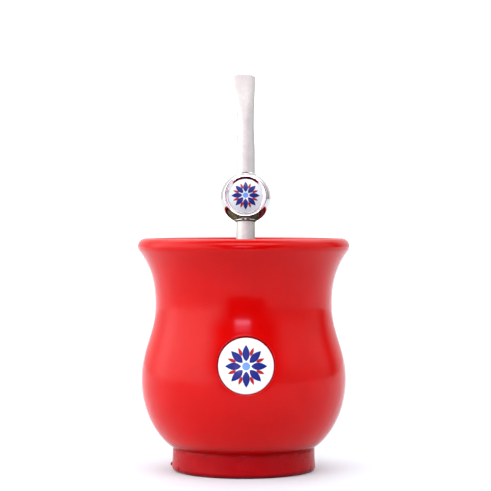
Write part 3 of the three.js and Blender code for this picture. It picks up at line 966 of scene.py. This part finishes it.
def steel_look(name, colour, roughness, stretch):
    """Steel with fine scratches, drawn out by stretch."""
    look = Look(name, Metallic=1.0)
    darker = tuple(0.93 * c for c in colour)
    look.drive("Base Color", look.mottle(3, 5, (darker, colour)))
    scratches = look.noise(0.25, 3, stretch)
    look.drive("Roughness", look.spread(scratches, roughness * 0.8, roughness * 1.25))
    look.bump(scratches, 0.002, 0.3)
    return look.material


def drink_look():
    """Dark and murky green-brown water."""
    look = Look("wet_infusion", Roughness=0.07, IOR=1.34)
    murk = [(0.3, (0.009, 0.011, 0.003)), (0.55, (0.02, 0.022, 0.006)), (0.75, (0.045, 0.045, 0.013))]
    look.drive("Base Color", look.colours(look.noise(5, 6), *murk))
    look.bump(look.noise(1.6, 3), 0.03, 0.4)
    return look.material


def foam_look():
    look = Look("froth", Roughness=0.08, IOR=1.2, Transmission_Weight=0.45)
    look.drive("Base Color", look.mottle(2, 3, FROTH_TAN))
    return look.material


def heap_look():
    look = Look("yerba_dust", Roughness=0.9)
    dust = [(0.3, (0.03, 0.036, 0.01)), (0.5, (0.08, 0.085, 0.024)), (0.72, (0.17, 0.165, 0.06))]
    look.drive("Base Color", look.colours(look.noise(1.1, 5), *dust))
    look.bump(look.noise(0.5, 4), 0.12)
    return look.material


def leaf_look():
    look = Look("cut_leaf", Roughness=0.7)
    wet_to_dry = [(0.0, (0.008, 0.011, 0.003)), (0.35, (0.035, 0.045, 0.012)),
                  (0.7, (0.11, 0.12, 0.033)), (1.0, (0.24, 0.235, 0.09))]
    look.drive("Base Color", look.colours(look.attribute("tint"), *wet_to_dry))
    look.bump(look.noise(0.3, 3), 0.03)
    return look.material


def stem_look():
    look = Look("cut_stem", Roughness=0.65)
    wet_to_dry = [(0.0, (0.07, 0.05, 0.02)), (0.5, (0.24, 0.19, 0.085)), (1.0, (0.4, 0.34, 0.18))]
    look.drive("Base Color", look.colours(look.attribute("tint"), *wet_to_dry))
    look.bump(look.noise(0.35, 3), 0.04)
    return look.material


# Stage, light and camera, in metres; the camera's lens is given in pixels of the photo

CAMERA = Sizes(distance=0.771, height=0.1063, side=0.00076, horizon_drop=28.9, focal_pixels=1835.0)
PHOTO_SIZE = 491
SENSOR_WIDTH = 36.0
TABLE = Sizes(half_width=3.0, front=-1.2, back=4.0, bay=-0.36, bay_half_width=0.5)
TENT_WHITE = (0.98, 0.98, 1, 1)
SEEN_WHITE = 1.1
PANEL_BLUR = 13.0
LAMP_PINK = (1, 0.64, 0.95)
LAMP_PLACE = Sizes(side=-0.03, front=-1.5)
LAMP_TARGET = (0, 0, 0.06)
LAMPS = {
    "front_lamp": Sizes(height=0.41, size=(0.48, 0.11), radiance=20),
    "front_glow": Sizes(height=0.58, size=(0.48, 0.2), radiance=4.5),
}


# Soft-edged panels of the tent, in degrees; an azimuth runs from the camera round to the right
Panel = namedtuple("Panel", "azimuth half_width elevation half_height brightness")
PANELS = {
    "room": Panel(4, 42, 0, 43, 0.02),
    "front_high": Panel(4, 42, 54, 11, 6.6),
    "left_low": Panel(-71, 43, -15, 25, 3.1),
    "left_mid": Panel(-79, 38, 26, 16, 3.5),
    "left_high": Panel(-76, 38, 54, 12, 1.4),
    "right_low": Panel(73, 40, -15, 25, 0.75),
    "right_mid": Panel(79, 33, 26, 16, 1.4),
    "right_high": Panel(79, 33, 54, 12, 2.0),
    "back_low": Panel(188, 58, 0, 40, 1.0),
    "back_high": Panel(179, 67, 53, 13, 3.0),
    "top": Panel(0, 190, 90, 24, 0.1),
}


def add_floor():
    """A pale table top with a round bay in its front edge, which ends between the cup and the camera."""
    mesh = bpy.data.meshes.new("floor")
    bay = arc((0, TABLE.front), TABLE.bay_half_width, TABLE.bay - TABLE.front, math.pi, 0, 32)
    wide = TABLE.half_width
    corners = [(-TABLE.bay_half_width, TABLE.front), *bay, (wide, TABLE.front), (wide, TABLE.back),
               (-wide, TABLE.back), (-wide, TABLE.front)]
    mesh.from_pydata([(x, y, 0) for x, y in corners], [], [tuple(range(len(corners)))])
    look = Look("pale_floor", Roughness=0.6)
    look.drive("Base Color", look.mottle(40, 2, FLOOR_PALE))
    mesh.materials.append(look.material)
    floor = new_object("floor", mesh)


def add_area_light(name, place, target, size, radiance, colour):
    """A rectangular lamp, radiance times as bright as a white background, that shows only in reflections."""
    light = bpy.data.lights.new(name, "AREA")
    light.shape = "RECTANGLE"
    light.size, light.size_y = size
    light.energy = radiance * math.pi * size[0] * size[1]
    light.color = colour
    lamp = new_object(name, light)
    lamp.location = place
    lamp.rotation_euler = (Vector(target) - Vector(place)).to_track_quat("-Z", "Y").to_euler()
    lamp.visible_diffuse = False


def add_world():
    """A tent of soft panels round the cup, open to a dark room at the front; the camera sees it white."""
    world = bpy.data.worlds.new("studio")
    bpy.context.scene.world = world
    world.use_nodes = True
    tree = world.node_tree

    def math_node(kind, *values):
        node = tree.nodes.new("ShaderNodeMath")
        node.operation = kind
        for value, socket in zip(values, node.inputs):
            if isinstance(value, (int, float)):
                socket.default_value = value
            else:
                tree.links.new(value, socket)
        return node.outputs[0]

    def within(value, half):
        """1 where the value is less than half away from zero, falling softly to 0 past that."""
        node = map_range(tree, math_node("ABSOLUTE", value), half - PANEL_BLUR, half + PANEL_BLUR, 1, 0)
        node.interpolation_type = "SMOOTHSTEP"
        return node.outputs["Result"]

    split = tree.nodes.new("ShaderNodeSeparateXYZ")
    tree.links.new(tree.nodes.new("ShaderNodeTexCoord").outputs["Generated"], split.inputs[0])
    x, y, z = split.outputs
    degree = 180 / math.pi
    azimuth = math_node("MULTIPLY", math_node("ARCTAN2", x, math_node("MULTIPLY", y, -1)), degree)
    elevation = math_node("MULTIPLY", math_node("ARCSINE", z), degree)
    lit = math_node("MULTIPLY", tree.nodes.new("ShaderNodeLightPath").outputs["Is Camera Ray"], SEEN_WHITE)
    for panel in PANELS.values():
        aside = math_node("WRAP", math_node("SUBTRACT", azimuth, panel.azimuth), 180, -180)
        above = math_node("SUBTRACT", elevation, panel.elevation)
        share = math_node("MULTIPLY", within(aside, panel.half_width), within(above, panel.half_height))
        lit = math_node("ADD", lit, math_node("MULTIPLY", share, panel.brightness))
    background = tree.nodes["Background"]
    tree.links.new(lit, background.inputs["Strength"])
    background.inputs["Color"].default_value = TENT_WHITE


def add_lights():
    for name, lamp in LAMPS.items():
        place = (LAMP_PLACE.side, LAMP_PLACE.front, lamp.height)
        add_area_light(name, place, LAMP_TARGET, lamp.size, lamp.radiance, LAMP_PINK)


def add_camera():
    data = bpy.data.cameras.new("camera")
    data.sensor_width = SENSOR_WIDTH
    data.lens = SENSOR_WIDTH * CAMERA.focal_pixels / PHOTO_SIZE
    camera = new_object("camera", data)
    camera.location = (CAMERA.side, -CAMERA.distance, CAMERA.height)
    camera.rotation_euler = (QUARTER - math.atan(CAMERA.horizon_drop / CAMERA.focal_pixels), 0, 0)
    bpy.context.scene.camera = camera


def build():
    foot = foot_look()
    white = badge_look("badge_white", (0.86, 0.865, 0.88), 0.3)
    resin = badge_look("badge_resin", (0.74, 0.765, 0.84), 0.1)
    inks = {
        "navy": badge_look("ink_navy", (0.002, 0.014, 0.2), 0.35),
        "red": badge_look("ink_red", (0.42, 0.008, 0.012), 0.35),
        "sky": badge_look("ink_sky", (0.12, 0.3, 0.78), 0.3),
    }
    satin = steel_look("satin_steel", (0.58, 0.56, 0.535), 0.57, (1, 1, 12))
    bright = steel_look("polished_steel", (0.66, 0.64, 0.62), 0.08, (2, 2, 2))

    make_cup(lacquer_look(), foot)
    make_drips(foot)
    make_cup_badge(white)
    make_rosette("cup_badge", CUP_BADGE.rosette, on_cup_badge, inks)
    make_straw(satin)
    make_ball(bright)
    make_collars(bright)
    make_ball_badge(resin)
    make_rosette("ball_badge", BALL_BADGE.rosette, on_ball_badge, inks)
    make_drink(drink_look())
    make_foam(foam_look())
    make_heap(heap_look())
    make_yerba_pieces(leaf_look(), stem_look())


add_camera()
add_world()
add_lights()
add_floor()
build()
bpy.context.scene.view_settings.view_transform = "Standard"
